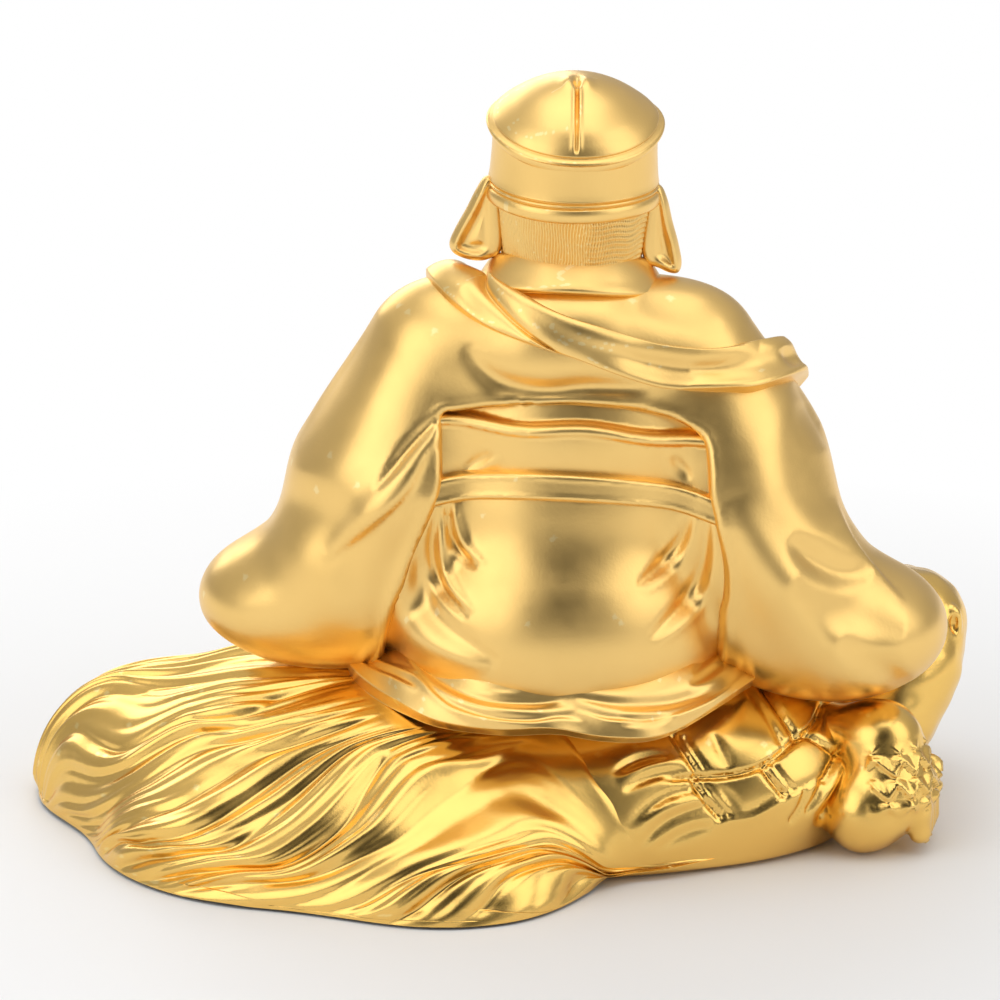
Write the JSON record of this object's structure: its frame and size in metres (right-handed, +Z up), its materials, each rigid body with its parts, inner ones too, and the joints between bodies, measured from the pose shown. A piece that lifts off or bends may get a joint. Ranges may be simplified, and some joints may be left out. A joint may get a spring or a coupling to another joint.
{
  "type": "gilt figurine of a seated elder on a turtle",
  "caption": "Gold plated cast figurine of a robed, capped elder seated side-saddle on a long-tailed turtle.",
  "frame": {"origin": "centre of the footprint's bounding box, on the surface it stands on", "axes": "+Z up, the figure faces -Y and shows its back to +Y, the turtle's head is at -X and its tail spreads to +X"},
  "size_m": [0.1236, 0.0775, 0.101],
  "materials": {
    "satin_gold": "satin gold plate on a tin-alloy casting",
    "bright_gold": "bright gold plate on a tin-alloy casting",
    "casting_alloy": "bare grey alloy sheet",
    "zinc_plated_steel": "zinc plated steel",
    "felt": "dark red felt"
  },
  "bodies": {
    "root": {"robe_back": "satin_gold", "robe_front": "satin_gold", "head": "satin_gold", "cap_crown": "satin_gold", "cap_band": "satin_gold", "collar": "satin_gold", "shoulder_scarf": "satin_gold", "waist_sash": "satin_gold", "waist_belt": "satin_gold", "hip_drape": "satin_gold", "robe_hem": "satin_gold", "left_hand": "satin_gold", "right_hand": "satin_gold", "carapace": "bright_gold", "seaweed_tail": "bright_gold", "turtle_head": "bright_gold", "right_front_leg": "bright_gold", "left_front_leg": "bright_gold", "left_rear_leg": "bright_gold", "seat_plate": "casting_alloy", "base_plate": "casting_alloy", "tail_plate": "casting_alloy", "seat_screw_front": "zinc_plated_steel", "seat_screw_back": "zinc_plated_steel", "seat_washer_front": "zinc_plated_steel", "seat_washer_back": "zinc_plated_steel", "base_screw_front": "zinc_plated_steel", "base_screw_middle": "zinc_plated_steel", "tail_screw_inner": "zinc_plated_steel", "tail_screw_outer": "zinc_plated_steel", "neck_screw": "zinc_plated_steel", "neck_washer": "zinc_plated_steel", "base_felt": "felt", "tail_felt": "felt"}
  },
  "joints": []
}
